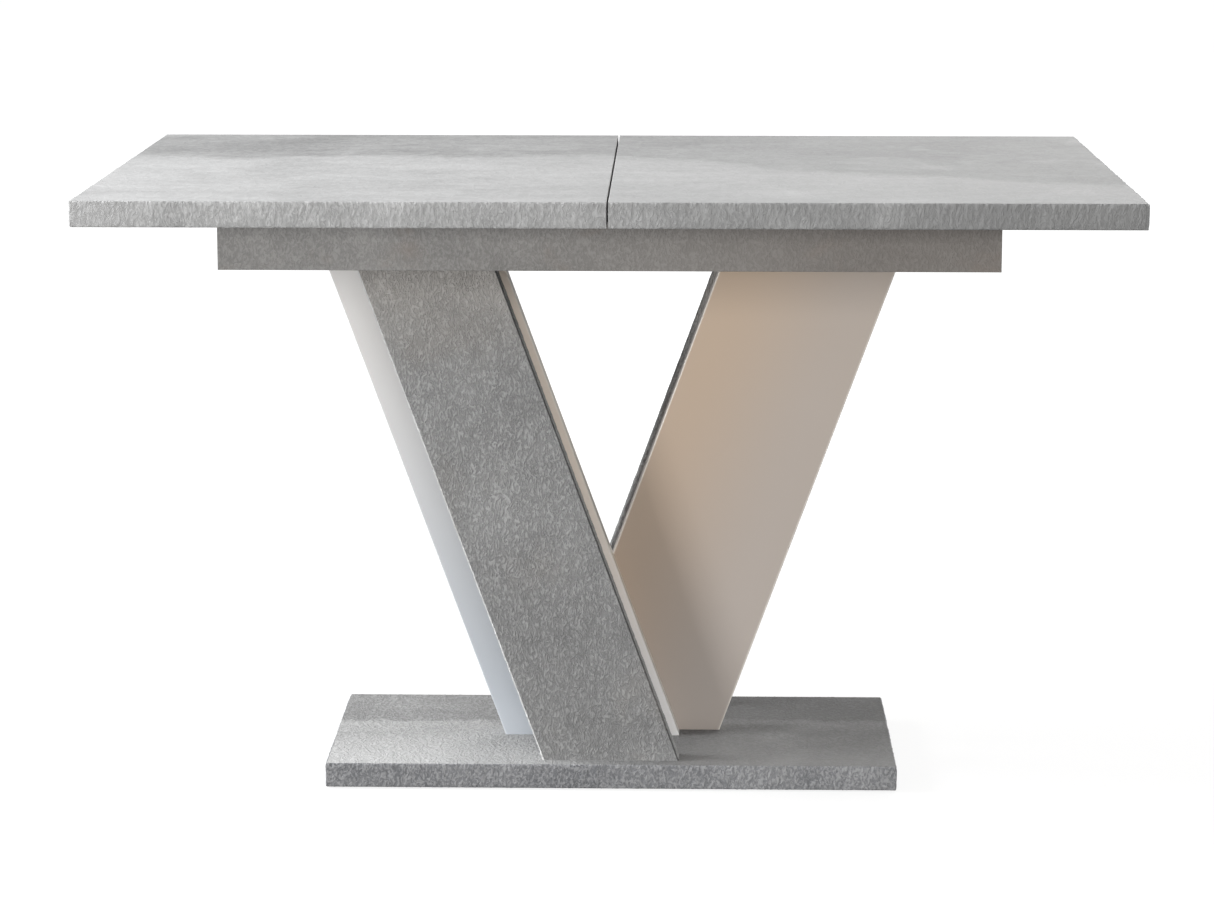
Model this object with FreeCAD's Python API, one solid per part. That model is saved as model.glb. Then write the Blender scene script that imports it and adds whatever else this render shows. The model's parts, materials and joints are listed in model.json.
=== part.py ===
import FreeCAD
import Part
import math
import os

# Extendable dining table with a V-shaped pedestal, in millimetres.
#
# Two table-top halves part at the middle and run on slides in a shallow apron box. A rack on each
# slide bar meshes with a pinion between the two bars, so both halves move by the same amount.
# A loose leaf lies in the box and is drawn out of its open right-hand end.
# The pedestal is two legs of two slanted boards each: a dark board outside, a light one at the middle.
# The second leg is the first one turned half a turn about Z.
#
# X runs along the table, Y from front to back, Z up.
# The origin is the middle of the footprint, on the floor.

V = FreeCAD.Vector

# ---- overall sizes ----
table_length = 1220.0
table_depth = 760.0
table_height = 750.0
seam_gap = 2.0             # between the closed halves

# ---- boards ----
top_board = 30.0
base_board = 30.0
dark_board = 30.0
light_board = 28.0
bottom_board = 16.0
apron_board = 18.0
edging = 2.0               # thickness of the edge bands
edge_round = 0.8           # rounding of the outer long edges
panel_round = 1.2          # rounding of the light boards' long edges

# ---- base ----
base_length = 700.0
base_depth = 330.0
glide_height = 2.0
glide_radius = 15.0
glide_inset = 40.0         # glide centre from the edge of the base

# ---- legs ----
leg_screw_inset = 34.0     # outer screws from a leg board's slanted edges, measured level
leg_dowel_inset = 56.0
leg_dowel_in_base = 20.0
leg_dowel_in_floor = 12.0
leg_lean = 0.3658          # sideways run for each unit of height
leg_toe = 84.0             # how far the foot of a leg passes the middle
light_width = 219.0        # width of a light board, measured level
dark_width = 168.0
dark_setback = 21.5        # dark board's outer face from the edge of the base

# ---- apron box ----
leaf_end_room = 55.0       # free length of the box past each end of the stored leaf
dowel_gap = 2.5            # from the leaf's dowels to the slide beside them
slide_gap = 5.5            # from a slide to the apron beside it
slide_to_rail = 3.0        # from a slide to the end board between the slides
pad_height = 2.0           # glide pads on the apron, under the sliding halves
pad_clearance = 0.5
pad_length = 60.0
pad_side_gap = 3.0         # pad to the apron's faces
pad_inset = 70.0

# ---- slides ----
track_wall = 2.5
track_inner_height = 19.0
track_clearance = 0.4      # between a bar's foot and its track
foot_width = 16.0
lip_width = 4.5
neck_width = 6.0
flange_width = 20.0
flange_thickness = 4.0
neck_drop = 6.0            # the neck's free stretch below the underside of the top
foot_round = 1.0
bar_end_gap = 15.0         # from a bar's outer end to the end of the box
bar_tail_spare = 1.0       # bar past the end of its rack
flange_start = 12.0
end_gap = 2.0              # between a track's end and an end rail

# ---- rack and pinion ----
gear_module = 1.25
pinion_teeth = 16
tooth_height = 1.0         # addendum of rack and pinion
tooth_root = 1.4           # dedendum of rack and pinion
pressure_angle = math.radians(20.0)
backlash = 0.3
rack_backing = 3.2
rack_height = 11.0
pinion_height = 10.0
pinion_floor = 2.0         # washer height under the pinion
pin_radius = 3.0
pin_clearance = 0.08
pin_washer_width = 3.0
pin_play = 0.2             # above and below the pinion
pin_head_radius = 5.0
pin_head_height = 1.5
rack_lead = 9.0            # rack past the pinion on the closed side
stop_length = 6.0          # plain block that ends the travel
rack_rise = 1.5            # rack above its track
rack_headroom = 3.5        # from the rack to the flange of the bar

# ---- leaf ----
leaf_width = 400.0
insert_slack = 6.0         # spare opening when the leaf is let down between the halves
leaf_headroom = 8.0
runner_height = 2.0
runner_width = 20.0
runner_offset = 150.0
guide_height = 10.0
guide_width = 6.0
guide_clearance = 1.0
strip_end_gap = 5.0        # runners and guides to the left end board

# ---- fasteners ----
hole_clearance = 0.1
dowel_radius = 4.0
dowel_length = 40.0
hole_spare = 2.0           # how much deeper a blind hole is than what it holds
seam_dowel_out = 12.0      # how far a seam dowel stands out of its edge
seam_dowel_clearance = 0.4
seam_dowel_offset = 260.0
cross_width = 1.2
cross_depth = 1.4
cross_share = 0.6          # reach of a driver slot, as a share of the head's radius
screw_radius = 3.5
screw_head_radius = 5.5
screw_head_height = 3.0
base_screw_length = 70.0
top_screw_length = 50.0
track_screw_radius = 2.0
track_screw_head = 4.0
track_screw_head_height = 2.2
track_screw_inset = 43.0
track_screw_length = 14.0
bar_screw_radius = 2.0
bar_screw_head = 3.6
bar_screw_head_height = 2.0
bar_screw_length = 22.0
bar_screw_inset = 25.0     # end screws from the ends of the flange
bar_screw_gap = 0.2        # screw head to the neck beside it
cam_radius = 7.5
cam_depth = 12.5
cam_inset = 24.0           # cam centre from the apron's inner face
cam_bolt_radius = 3.5
cam_bolt_bite = 11.0       # how deep the bolt goes into the apron
cam_slot = 2.0             # screwdriver slot across a cam
cam_pairs = 4

# ---- slide across: two tracks side by side, a bar in each and the pinion between them ----
pinion_radius = gear_module * pinion_teeth / 2.0
rack_back = pinion_radius + tooth_root + rack_backing      # face of a neck, from the slide's centre
neck_centre = rack_back + neck_width / 2.0
track_half_inner = foot_width / 2.0 + track_clearance
slide_half_width = neck_centre + track_half_inner + track_wall
slide_offset = leaf_width / 2.0 + seam_dowel_out + dowel_gap + slide_half_width
inner_y = slide_offset + slide_half_width + slide_gap
apron_half_y = inner_y + apron_board
half_y = table_depth / 2.0

# ---- lengths ----
inner_x = half_y + leaf_end_room                           # the leaf is as long as the table is deep
apron_half_x = inner_x + apron_board
half_travel = (leaf_width + 2 * seam_dowel_out + insert_slack - seam_gap) / 2.0
track_half_length = inner_x - end_gap
bar_reach = inner_x - bar_end_gap
rack_tail = half_travel + rack_lead
bar_tail = rack_tail + stop_length + bar_tail_spare

# ---- heights ----
track_height = 2 * track_wall + track_inner_height
slide_stack = track_height + rack_rise + rack_height + rack_headroom + flange_thickness
leaf_stack = runner_height + top_board + leaf_headroom
base_bottom = glide_height
base_top = base_bottom + base_board
top_bottom = table_height - top_board
floor_top = top_bottom - max(slide_stack, leaf_stack)
apron_bottom = floor_top - bottom_board
apron_top = top_bottom - pad_clearance - pad_height
leg_height = apron_bottom - base_top
track_top = floor_top + track_height
neck_top = top_bottom - neck_drop
flange_bottom = top_bottom - flange_thickness
rack_bottom = track_top + rack_rise
pinion_bottom = track_top + pinion_floor
leaf_bottom = floor_top + runner_height
band_level = edging * math.sqrt(1 + leg_lean ** 2)         # a slanted band's thickness, measured level
nodes = {}


def box(x0, x1, y0, y1, z0, z1):
    return Part.makeBox(x1 - x0, y1 - y0, z1 - z0, V(x0, y0, z0))


def extrude(points, direction):
    """Solid from a closed outline of 3D points, pushed along a direction."""
    wire = Part.makePolygon([V(*p) for p in points] + [V(*points[0])])
    return Part.Face(wire).extrude(V(*direction))


def rod(radius, start, axis, length):
    return Part.makeCylinder(radius, length, V(*start), V(*axis))


def half_turn(shape):
    """A copy of the shape, turned half a turn about the table's middle."""
    copy = shape.copy()
    copy.rotate(V(0, 0, 0), V(0, 0, 1), 180)
    return copy


def round_edges(shape, radius, wanted):
    """Rounds the edges for which wanted(middle, direction) holds."""
    chosen = []
    for edge in shape.Edges:
        ends = [v.Point for v in edge.Vertexes]
        if len(ends) == 2 and wanted((ends[0] + ends[1]) * 0.5, (ends[1] - ends[0]).normalize()):
            chosen.append(edge)
    return shape.makeFillet(radius, chosen) if chosen else shape


def cut_all(shape, tools):
    return shape.cut(tools) if tools else shape


def save(name, *shapes):
    """Keeps the shapes as one node and writes its STEP file."""
    solids = [s for shape in shapes for s in shape.Solids]
    nodes[name] = solids
    body = solids[0] if len(solids) == 1 else Part.makeCompound(solids)
    body.exportStep(os.path.join("parts", name + ".step"))


# ---------------------------------------------------------------- boards with edge bands

def edge_bands(x0, x1, y0, y1, z0, z1):
    """Four bands round a board: front and back over the full length, then left and right between them."""
    def outer(inward_axis, outward):
        def wanted(middle, direction):
            along = abs(direction[1 - inward_axis]) > 0.9
            return along and abs(middle[inward_axis] - outward) < 0.01
        return wanted

    bands = []
    for outward, inward in ((y0, y0 + edging), (y1, y1 - edging)):
        band = box(x0, x1, min(outward, inward), max(outward, inward), z0, z1)
        bands.append(round_edges(band, edge_round, outer(1, outward)))
    for outward, inward in ((x0, x0 + edging), (x1, x1 - edging)):
        band = box(min(outward, inward), max(outward, inward), y0 + edging, y1 - edging, z0, z1)
        bands.append(round_edges(band, edge_round, outer(0, outward)))
    return bands


def board_core(x0, x1, y0, y1, z0, z1):
    return box(x0 + edging, x1 - edging, y0 + edging, y1 - edging, z0, z1)


# ---------------------------------------------------------------- fasteners

def cross_slots(point, up, head_radius):
    """Two crossed slots for the driver, sunk into an upright screw's head from its outer face at point."""
    x, y, z = point
    low, high = sorted((z, z + up[2] * cross_depth))
    long, short = head_radius * cross_share, cross_width / 2
    return [box(x - long, x + long, y - short, y + short, low, high),
            box(x - short, x + short, y - long, y + long, low, high)]


def countersunk_screw(point, up, radius, head_radius, head_height, length):
    """Screw whose flat head's outer face is at point; it runs along up."""
    head = Part.makeCone(head_radius, radius, head_height, V(*point), V(*up))
    shank = rod(radius, point, up, length)
    return head.fuse(shank).removeSplitter().cut(cross_slots(point, up, head_radius))


def screw_hole(point, up, radius, head_radius, head_height, length):
    bore = radius + hole_clearance
    head = Part.makeCone(head_radius + hole_clearance, bore, head_height, V(*point), V(*up))
    return head.fuse(rod(bore, point, up, length))


def even(start, end, count):
    """Evenly spaced places from start to end."""
    return [start + i * (end - start) / (count - 1) for i in range(count)]


def leg_points(width, inset, count, height):
    """Places along a slanted board's level section, at a height above its foot: x only."""
    right = leg_toe - leg_lean * height
    return even(right - width + inset, right - inset, count)


# ---------------------------------------------------------------- pedestal

def slanted_board(width, y0, y1, inset=0.0):
    """Parallelogram board of the left leg: its foot ends at leg_toe and it leans to the left as it rises."""
    run = leg_lean * leg_height
    outline = [
        (leg_toe - width + inset, y0, base_top),
        (leg_toe - inset, y0, base_top),
        (leg_toe - inset - run, y0, apron_bottom),
        (leg_toe - width + inset - run, y0, apron_bottom),
    ]
    return extrude(outline, (0, y1 - y0, 0))


def slanted_edging(width, y0, y1):
    """The two bands on a dark board's slanted edges, rounded outside."""
    run = leg_lean * leg_height
    bands = []
    for foot in (leg_toe - width, leg_toe - band_level):
        outline = [
            (foot, y0, base_top),
            (foot + band_level, y0, base_top),
            (foot + band_level - run, y0, apron_bottom),
            (foot - run, y0, apron_bottom),
        ]
        band = extrude(outline, (0, y1 - y0, 0))
        outer = leg_toe - width if foot < leg_toe - width / 2 else leg_toe

        def wanted(middle, direction):
            surface = outer - leg_lean * (middle.z - base_top)
            return abs(direction.y) < 0.1 and abs(direction.z) > 0.5 and abs(middle.x - surface) < 0.01

        bands.append(round_edges(band, edge_round, wanted))
    return bands


def pedestal():
    dark_y0 = -(base_depth / 2.0 - dark_setback)
    dark_y1 = dark_y0 + dark_board
    dark_y = (dark_y0 + dark_y1) / 2.0
    light_y = -light_board / 2.0

    screws, dowels, holes = [], [], []
    for width, y in ((dark_width, dark_y), (light_width, light_y)):
        for x in leg_points(width, leg_screw_inset, 3, 0.0):
            foot = (x, y, base_bottom)
            spec = (foot, (0, 0, 1), screw_radius, screw_head_radius, screw_head_height)
            screws.append(countersunk_screw(*spec, base_screw_length))
            holes.append(screw_hole(*spec, base_screw_length + hole_spare))
        for x in leg_points(width, leg_dowel_inset, 2, 0.0):
            start = (x, y, base_top - leg_dowel_in_base)
            dowels.append(rod(dowel_radius, start, (0, 0, 1), dowel_length))
            holes.append(rod(dowel_radius + hole_clearance, start, (0, 0, 1), dowel_length))
        for x in leg_points(width, leg_screw_inset, 3, leg_height):
            head = (x, y, floor_top)
            spec = (head, (0, 0, -1), screw_radius, screw_head_radius, screw_head_height)
            screws.append(countersunk_screw(*spec, top_screw_length))
            holes.append(screw_hole(*spec, top_screw_length + hole_spare))
        for x in leg_points(width, leg_dowel_inset, 2, leg_height):
            start = (x, y, apron_bottom + leg_dowel_in_floor - dowel_length)
            dowels.append(rod(dowel_radius, start, (0, 0, 1), dowel_length))
            holes.append(rod(dowel_radius + hole_clearance, start, (0, 0, 1), dowel_length))

    dark = slanted_board(dark_width, dark_y0, dark_y1, band_level)
    light = slanted_board(light_width, -light_board, 0.0)
    long_edges = lambda middle, direction: abs(direction.y) < 0.1 and abs(direction.z) > 0.5
    light = round_edges(light, panel_round, long_edges)
    dark = cut_all(dark, holes)
    light = cut_all(light, holes)
    bands = slanted_edging(dark_width, dark_y0, dark_y1)
    all_holes = holes + [half_turn(h) for h in holes]

    for side, turn in (("left", lambda s: s), ("right", half_turn)):
        save(side + "_dark_leg_board", turn(dark))
        save(side + "_dark_leg_edging", *[turn(b) for b in bands])
        save(side + "_light_leg_board", turn(light))

    base = (-base_length / 2, base_length / 2, -base_depth / 2, base_depth / 2, base_bottom, base_top)
    save("base_plate", cut_all(board_core(*base), all_holes))
    save("base_edging", *edge_bands(*base))
    low = [s for s in screws if s.BoundBox.ZMin < base_top]
    high = [s for s in screws if s.BoundBox.ZMin > base_top]
    save("base_screws", *low, *[half_turn(s) for s in low])
    save("leg_top_screws", *high, *[half_turn(s) for s in high])
    save("leg_dowels", *dowels, *[half_turn(d) for d in dowels])

    glides = []
    for x in (-base_length / 2 + glide_inset, 0.0, base_length / 2 - glide_inset):
        for y in (-base_depth / 2 + glide_inset, base_depth / 2 - glide_inset):
            glides.append(rod(glide_radius, (x, y, 0), (0, 0, 1), glide_height))
    save("base_glides", *glides)
    return all_holes


# ---------------------------------------------------------------- apron box

def cam_places():
    """Where the cams stand along the aprons, evenly spaced with half a step at each end."""
    step = 2 * inner_x / cam_pairs
    return [-inner_x + (i + 0.5) * step for i in range(cam_pairs)]


def apron_box(leg_holes):
    aprons = {}
    for name, side in (("front_apron", -1), ("rear_apron", 1)):
        outer, inner = side * apron_half_y, side * inner_y
        low, high = min(outer, inner), max(outer, inner)
        board = box(-apron_half_x, apron_half_x, low, high, apron_bottom, apron_top)
        aprons[name] = round_edges(board, edge_round, lambda m, d, o=outer: abs(m.y - o) < 0.01)

    cams, bolts, cuts = [], [], []
    bolt_z = apron_bottom + bottom_board / 2.0
    bolt_length = cam_inset + cam_bolt_bite
    for side in (-1, 1):
        for x in cam_places():
            centre = (x, side * (inner_y - cam_inset), apron_bottom)
            cams.append(rod(cam_radius, centre, (0, 0, 1), cam_depth))
            cuts.append(rod(cam_radius + hole_clearance, centre, (0, 0, 1), cam_depth))
            start = (x, side * (inner_y - cam_inset), bolt_z)
            bolts.append(rod(cam_bolt_radius, start, (0, side, 0), bolt_length))
            cuts.append(rod(cam_bolt_radius + hole_clearance, start, (0, side, 0), bolt_length + hole_spare))
    bore = cam_bolt_radius + hole_clearance
    bolt_bores = [rod(bore, (x, -apron_half_y, bolt_z), (0, 1, 0), 2 * apron_half_y) for x in cam_places()]
    slots = [box(-inner_x, inner_x, y - cam_slot / 2, y + cam_slot / 2, apron_bottom, apron_bottom + cam_slot)
             for y in (cam_inset - inner_y, inner_y - cam_inset)]
    cams = [cam.cut(bolt_bores + slots) for cam in cams]

    floor = box(-inner_x, inner_x, -inner_y, inner_y, apron_bottom, floor_top)
    track_holes = [screw_hole(*spec) for spec in track_screw_specs()]
    save("box_floor", cut_all(floor, leg_holes + cuts + track_holes))
    for name, board in aprons.items():
        save(name, cut_all(board, cuts))
    save("cam_locks", *cams)
    save("cam_bolts", *bolts)

    # the left end is closed between the slides; the right end is a low sill, so that the leaf can pass
    for name, x0, x1 in (("left", -apron_half_x, -inner_x), ("right", inner_x, apron_half_x)):
        save(name + "_end_sill", box(x0, x1, -inner_y, inner_y, apron_bottom, floor_top))
    reach = slide_offset - slide_half_width - slide_to_rail
    save("left_end_board", box(-apron_half_x, -inner_x, -reach, reach, floor_top, apron_top))

    pads = []
    for y in (-(apron_half_y - apron_board / 2), apron_half_y - apron_board / 2):
        for x in (-apron_half_x + pad_inset, -pad_length, pad_length, apron_half_x - pad_inset):
            width = apron_board - 2 * pad_side_gap
            pads.append(box(x - pad_length / 2, x + pad_length / 2, y - width / 2, y + width / 2,
                            apron_top, apron_top + pad_height))
    save("apron_pads", *pads)


# ---------------------------------------------------------------- slides

def track_screw_specs():
    """Countersunk screws through the floors of the four tracks."""
    top = floor_top + track_wall
    specs = []
    for unit in (-1, 1):
        for side in (-1, 1):
            y = unit * slide_offset + side * neck_centre
            for x in even(track_screw_inset - track_half_length, track_half_length - track_screw_inset, 4):
                specs.append(((x, y, top), (0, 0, -1), track_screw_radius, track_screw_head,
                              track_screw_head_height, track_screw_length))
    return specs


def slide_track(y):
    """Double C profile: two tracks side by side and a bridge between them for the pinion's pin."""
    length = track_half_length
    inner = track_half_inner
    width = slide_half_width
    lip_bottom = track_top - track_wall
    shape = box(-length, length, y - width, y + width, floor_top, track_top)
    for side in (-1, 1):
        centre = y + side * neck_centre
        hollow = box(-length, length, centre - inner, centre + inner, floor_top + track_wall, lip_bottom)
        slot = inner - lip_width
        mouth = box(-length, length, centre - slot, centre + slot, lip_bottom, track_top)
        shape = shape.cut([hollow, mouth])
    gap = neck_centre - inner - track_wall
    shape = shape.cut(box(-length, length, y - gap, y + gap, floor_top, lip_bottom))
    shape = shape.cut(rod(pin_radius, (0, y, floor_top), (0, 0, 1), track_height))
    return shape.cut([screw_hole(*spec) for spec in track_screw_specs()])


def slide_bar(y, side, direction):
    """Bar of the half that moves along direction; side is where it runs in the slide's double track."""
    centre = y + side * neck_centre
    foot_low = floor_top + track_wall + track_clearance
    foot_high = track_top - track_wall - track_clearance
    foot = box(-bar_tail, bar_reach, centre - foot_width / 2, centre + foot_width / 2, foot_low, foot_high)
    neck = box(-bar_tail, bar_reach, centre - neck_width / 2, centre + neck_width / 2, foot_high, neck_top)
    near, far = centre - neck_width / 2, centre + neck_width / 2
    rise = box(flange_start, bar_reach, near, far, neck_top, flange_bottom)
    near, far = centre - flange_width / 2, centre + flange_width / 2
    flange = box(flange_start, bar_reach, near, far, flange_bottom, top_bottom)
    bar = foot.fuse([neck, rise, flange]).removeSplitter()
    bar = round_edges(bar, foot_round, lambda m, d: abs(d.x) > 0.9 and m.z < foot_low + 0.01)
    screws, holes = [], []
    screw_y = centre + side * (neck_width / 2 + bar_screw_gap + bar_screw_head)
    for x in even(flange_start + bar_screw_inset, bar_reach - bar_screw_inset, 4):
        start = (x, screw_y, flange_bottom - bar_screw_head_height)
        head = rod(bar_screw_head, start, (0, 0, 1), bar_screw_head_height)
        screw = head.fuse(rod(bar_screw_radius, start, (0, 0, 1), bar_screw_length)).removeSplitter()
        screws.append(screw.cut(cross_slots(start, (0, 0, 1), bar_screw_head)))
        holes.append(rod(bar_screw_radius + hole_clearance, start, (0, 0, 1), bar_screw_length + hole_spare))
    bar = cut_all(bar, holes)
    if direction < 0:
        bar, screws, holes = mirror_x(bar), [mirror_x(s) for s in screws], [mirror_x(h) for h in holes]
    return bar, screws, holes


def mirror_x(shape):
    return shape.mirror(V(0, 0, 0), V(1, 0, 0))


def rack(y, side, direction):
    """Rack strip on a bar's neck, teeth towards the pinion, a plain stop block at its tail."""
    pitch = math.pi * gear_module
    half_tooth = pitch / 4 - backlash / 4
    slope = math.tan(pressure_angle)
    tip = pinion_radius - tooth_height
    root = pinion_radius + tooth_root
    tail = -rack_tail
    count = int((rack_lead - tail) / pitch)
    first = -math.ceil(-tail / pitch) + 0.5      # gaps are centred on whole pitches, teeth between them
    outline = [(rack_lead, rack_back), (rack_lead, root)]
    teeth = [(first + i) * pitch for i in range(count + 1)]
    teeth = [x for x in teeth if tail + pitch < x < rack_lead - pitch / 2]
    for x in reversed(teeth):
        outline.append((x + half_tooth + tooth_root * slope, root))
        outline.append((x + half_tooth - tooth_height * slope, tip))
        outline.append((x - half_tooth + tooth_height * slope, tip))
        outline.append((x - half_tooth - tooth_root * slope, root))
    outline += [(tail, root), (tail, tip), (tail - stop_length, tip), (tail - stop_length, rack_back)]
    points = [(direction * x, y + side * d, rack_bottom) for x, d in outline]
    return extrude(points, (0, 0, rack_height))


def pinion(y):
    """Involute spur pinion with one tooth pointing along +Y and one along -Y."""
    base = pinion_radius * math.cos(pressure_angle)
    tip = pinion_radius + tooth_height
    root = pinion_radius - tooth_root
    half_at_pitch = (math.pi * gear_module / 2 - backlash / 2) / 2 / pinion_radius
    involute = lambda r: math.tan(math.acos(base / r)) - math.acos(base / r)
    at_pitch = involute(pinion_radius)
    flank = [(root, half_at_pitch + at_pitch)]
    steps = 4
    for i in range(steps + 1):
        r = base + (tip - base) * i / steps
        flank.append((r, half_at_pitch + at_pitch - involute(r)))
    outline = []
    for tooth in range(pinion_teeth):
        centre = math.pi / 2 + tooth * 2 * math.pi / pinion_teeth
        for r, a in flank:
            outline.append((r * math.cos(centre - a), y + r * math.sin(centre - a), pinion_bottom))
        for r, a in reversed(flank):
            outline.append((r * math.cos(centre + a), y + r * math.sin(centre + a), pinion_bottom))
    wheel = extrude(outline, (0, 0, pinion_height))
    return wheel.cut(rod(pin_radius + pin_clearance, (0, y, pinion_bottom), (0, 0, 1), pinion_height))


def pinion_pin(y):
    """Rivet through the track's bridge, a washer under the pinion and a head over it."""
    start = track_top - track_wall
    head = pinion_bottom + pinion_height + pin_play
    shank = rod(pin_radius, (0, y, start), (0, 0, 1), head - start)
    washer = rod(pin_radius + pin_washer_width, (0, y, track_top), (0, 0, 1), pinion_floor - pin_play)
    top = rod(pin_head_radius, (0, y, head), (0, 0, 1), pin_head_height)
    return shank.fuse([washer, top]).removeSplitter()


def slides():
    """Front slide and rear slide; the rear one is the front one turned half a turn."""
    y = -slide_offset
    bar_right, screws_right, holes_right = slide_bar(y, -1, 1)
    bar_left, screws_left, holes_left = slide_bar(y, 1, -1)
    rack_right = rack(y, -1, 1)
    rack_left = rack(y, 1, -1)
    save("front_slide_track", slide_track(y))
    save("rear_slide_track", half_turn(slide_track(y)))
    save("front_right_slide_bar", bar_right)
    save("front_left_slide_bar", bar_left)
    save("rear_left_slide_bar", half_turn(bar_right))
    save("rear_right_slide_bar", half_turn(bar_left))
    save("front_right_rack", rack_right)
    save("front_left_rack", rack_left)
    save("rear_left_rack", half_turn(rack_right))
    save("rear_right_rack", half_turn(rack_left))
    save("front_pinion", pinion(y))
    save("rear_pinion", half_turn(pinion(y)))
    save("front_pinion_pin", pinion_pin(y))
    save("rear_pinion_pin", half_turn(pinion_pin(y)))
    save("right_bar_screws", *screws_right, *[half_turn(s) for s in screws_left])
    save("left_bar_screws", *screws_left, *[half_turn(s) for s in screws_right])
    save("track_screws", *[countersunk_screw(*spec) for spec in track_screw_specs()])
    right = holes_right + [half_turn(h) for h in holes_left]
    left = holes_left + [half_turn(h) for h in holes_right]
    return left, right


# ---------------------------------------------------------------- table top and leaf

def seam_places():
    return [(y, top_bottom + top_board / 2) for y in (-seam_dowel_offset, 0.0, seam_dowel_offset)]


def table_top(left_holes, right_holes):
    inner = seam_gap / 2
    sockets, dowels, mouths = [], [], []
    for y, z in seam_places():
        start = (-inner - dowel_length + seam_dowel_out, y, z)
        dowels.append(rod(dowel_radius, start, (1, 0, 0), dowel_length))
        sockets.append(rod(dowel_radius + hole_clearance, start, (1, 0, 0), dowel_length))
        depth = seam_dowel_out + hole_spare
        mouths.append(rod(dowel_radius + seam_dowel_clearance, (inner, y, z), (1, 0, 0), depth))
    left = (-table_length / 2, -inner, -half_y, half_y, top_bottom, table_height)
    right = (inner, table_length / 2, -half_y, half_y, top_bottom, table_height)
    save("left_top_board", cut_all(board_core(*left), left_holes + sockets))
    front_band, back_band, end_band, seam_band = edge_bands(*left)
    save("left_top_edging", front_band, back_band, end_band)
    save("left_seam_band", cut_all(seam_band, sockets))
    save("right_top_board", cut_all(board_core(*right), right_holes + mouths))
    front_band, back_band, seam_band, end_band = edge_bands(*right)
    save("right_top_edging", front_band, back_band, end_band)
    save("right_seam_band", cut_all(seam_band, mouths))
    save("seam_dowels", *dowels)


def leaf():
    """The leaf lies in the box turned a quarter turn, its length along X."""
    x, y = table_depth / 2, leaf_width / 2
    z0, z1 = leaf_bottom, leaf_bottom + top_board
    middle = (z0 + z1) / 2
    dowels, cuts = [], []
    for place in (-seam_dowel_offset, 0.0, seam_dowel_offset):
        start = (place, -y - seam_dowel_out, middle)
        dowels.append(rod(dowel_radius, start, (0, 1, 0), dowel_length))
        cuts.append(rod(dowel_radius + hole_clearance, start, (0, 1, 0), dowel_length))
        depth = seam_dowel_out + hole_spare
        cuts.append(rod(dowel_radius + seam_dowel_clearance, (place, y - depth, middle), (0, 1, 0), depth))
    size = (-x, x, -y, y, z0, z1)
    save("leaf_board", cut_all(board_core(*size), cuts))
    save("leaf_edging", *[cut_all(b, cuts) for b in edge_bands(*size)])
    save("leaf_dowels", *dowels)

    start, end = -inner_x + strip_end_gap, apron_half_x
    strips = []
    for middle in (-runner_offset, runner_offset):
        near, far = middle - runner_width / 2, middle + runner_width / 2
        strips.append(box(start, end, near, far, floor_top, leaf_bottom))
    save("leaf_runners", *strips)
    near = y + guide_clearance
    far = near + guide_width
    top = floor_top + guide_height
    rails = [box(start, end, *ends, floor_top, top) for ends in ((-far, -near), (near, far))]
    save("leaf_guides", *rails)


os.makedirs("parts", exist_ok=True)
leg_holes = pedestal()
apron_box(leg_holes)
left_holes, right_holes = slides()
table_top(left_holes, right_holes)
leaf()
for name in sorted(nodes):
    solids = nodes[name]
    valid = all(s.isValid() for s in solids)
    print(name, len(solids), round(sum(s.Volume for s in solids)), "ok" if valid else "INVALID")
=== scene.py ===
import json
import math
import bmesh
import bpy
import numpy as np
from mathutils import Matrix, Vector


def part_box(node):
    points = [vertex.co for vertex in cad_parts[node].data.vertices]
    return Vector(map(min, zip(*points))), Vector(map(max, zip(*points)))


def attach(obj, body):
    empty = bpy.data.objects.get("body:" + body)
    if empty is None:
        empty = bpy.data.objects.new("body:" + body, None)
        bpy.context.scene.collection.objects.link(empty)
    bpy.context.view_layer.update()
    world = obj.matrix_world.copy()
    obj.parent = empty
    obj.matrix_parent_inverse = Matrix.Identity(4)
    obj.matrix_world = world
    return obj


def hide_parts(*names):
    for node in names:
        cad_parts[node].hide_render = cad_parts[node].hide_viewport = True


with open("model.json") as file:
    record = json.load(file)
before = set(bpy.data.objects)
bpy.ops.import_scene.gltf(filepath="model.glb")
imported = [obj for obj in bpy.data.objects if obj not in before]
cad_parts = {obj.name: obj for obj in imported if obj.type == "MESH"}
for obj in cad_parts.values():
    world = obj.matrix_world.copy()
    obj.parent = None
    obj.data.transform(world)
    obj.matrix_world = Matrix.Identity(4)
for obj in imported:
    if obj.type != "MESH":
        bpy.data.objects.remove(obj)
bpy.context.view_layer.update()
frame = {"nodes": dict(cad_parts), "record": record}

nodes = frame["nodes"]
scene = bpy.context.scene


# camera: where one stands in front of the table, in metres and degrees; lens and sensor in millimetres
viewpoint = {
    "place": (0.0817, -4.251, 1.2137), "down": 9.803, "turn": 1.366,
    "lens": 102.5, "sensor": 36.0, "shift": (0.0077, -0.06), "clip": (0.1, 60.0),
}


def makeCamera(settings):
    # a camera that looks level and away from its place, then down and turned a little to the left
    lens = bpy.data.cameras.new("camera")
    lens.sensor_width = settings["sensor"]
    lens.lens = settings["lens"]
    lens.shift_x, lens.shift_y = settings["shift"]
    lens.clip_start, lens.clip_end = settings["clip"]
    camera = bpy.data.objects.new("camera", lens)
    camera.location = settings["place"]
    camera.rotation_euler = (math.radians(90.0 - settings["down"]), 0.0, math.radians(settings["turn"]))
    scene.collection.objects.link(camera)
    scene.camera = camera


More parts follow.
